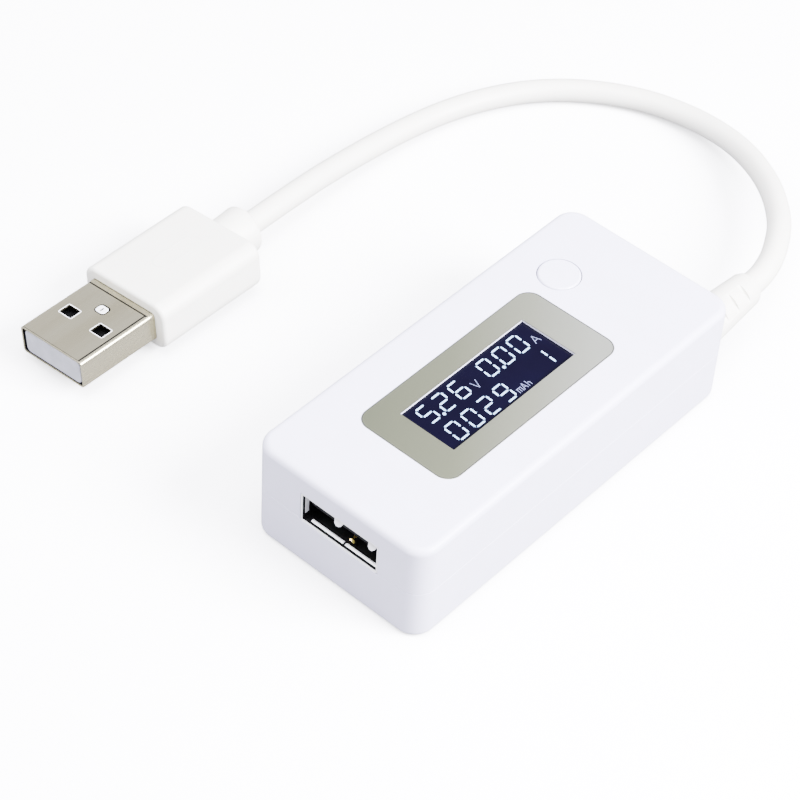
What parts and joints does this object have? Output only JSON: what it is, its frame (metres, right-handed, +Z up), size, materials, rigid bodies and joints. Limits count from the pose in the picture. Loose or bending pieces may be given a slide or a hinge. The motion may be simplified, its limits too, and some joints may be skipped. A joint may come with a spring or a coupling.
{
  "type": "usb power meter",
  "caption": "Small white plastic case with a display, a push button and a USB socket in one end, on a short lead with a USB plug.",
  "frame": {"origin": "middle of the case's underside, on the surface that it lies on", "axes": "+Z up out of the display face, -Y out of the end with the socket, +Y towards the end that the lead leaves, +X to the right when the socket faces the viewer"},
  "size_m": [0.0732, 0.1046, 0.0161],
  "materials": {
    "white_shell": "satin moulded white plastic",
    "white_lead": "soft white moulded vinyl",
    "label": "satin silver grey",
    "screen": "glossy dark window",
    "lcd_glass": "polished",
    "inner_plastic": "moulded",
    "rubber": "soft",
    "chip": "moulded epoxy",
    "board": "solder mask",
    "capacitor": "fired",
    "nickel": "nickel plated",
    "insulator": "moulded",
    "gold": "gold flash plated",
    "wire_red": "soft",
    "wire_black": "soft",
    "wire_green": "soft",
    "wire_white": "soft"
  },
  "bodies": {
    "case": {"upper_shell": "white_shell", "lower_shell": "white_shell", "label_plate": "label", "display_window": "screen", "lcd_glass": "lcd_glass", "lcd_frame": "inner_plastic", "lcd_backlight": "inner_plastic", "lcd_connector_strip": "rubber", "switch_body": "chip", "circuit_board": "board", "microcontroller": "chip", "memory_chip": "chip", "voltage_regulator": "chip", "shunt_resistor": "chip", "clock_crystal": "nickel", "filter_capacitor": "capacitor", "socket_shell": "nickel", "socket_tongue": "chip", "socket_contact_1": "gold", "socket_contact_2": "gold", "socket_contact_3": "gold", "socket_contact_4": "gold", "strain_relief": "white_lead", "cord": "white_lead", "wire_ground": "wire_black", "wire_data_plus": "wire_green", "wire_data_minus": "wire_white", "wire_power": "wire_red", "plug_grip": "white_lead", "plug_shell": "nickel", "plug_insulator": "insulator", "plug_contact_1": "gold", "plug_contact_2": "gold", "plug_contact_3": "gold", "plug_contact_4": "gold"},
    "button": {"mode_button": "white_shell", "switch_plunger": "chip"}
  },
  "joints": [
    {"name": "button_press", "type": "slide", "parent": "case", "child": "button", "axis": [0, 0, -1], "range_m": [0, 0.0005], "stiffness_N_per_m": 3000}
  ]
}
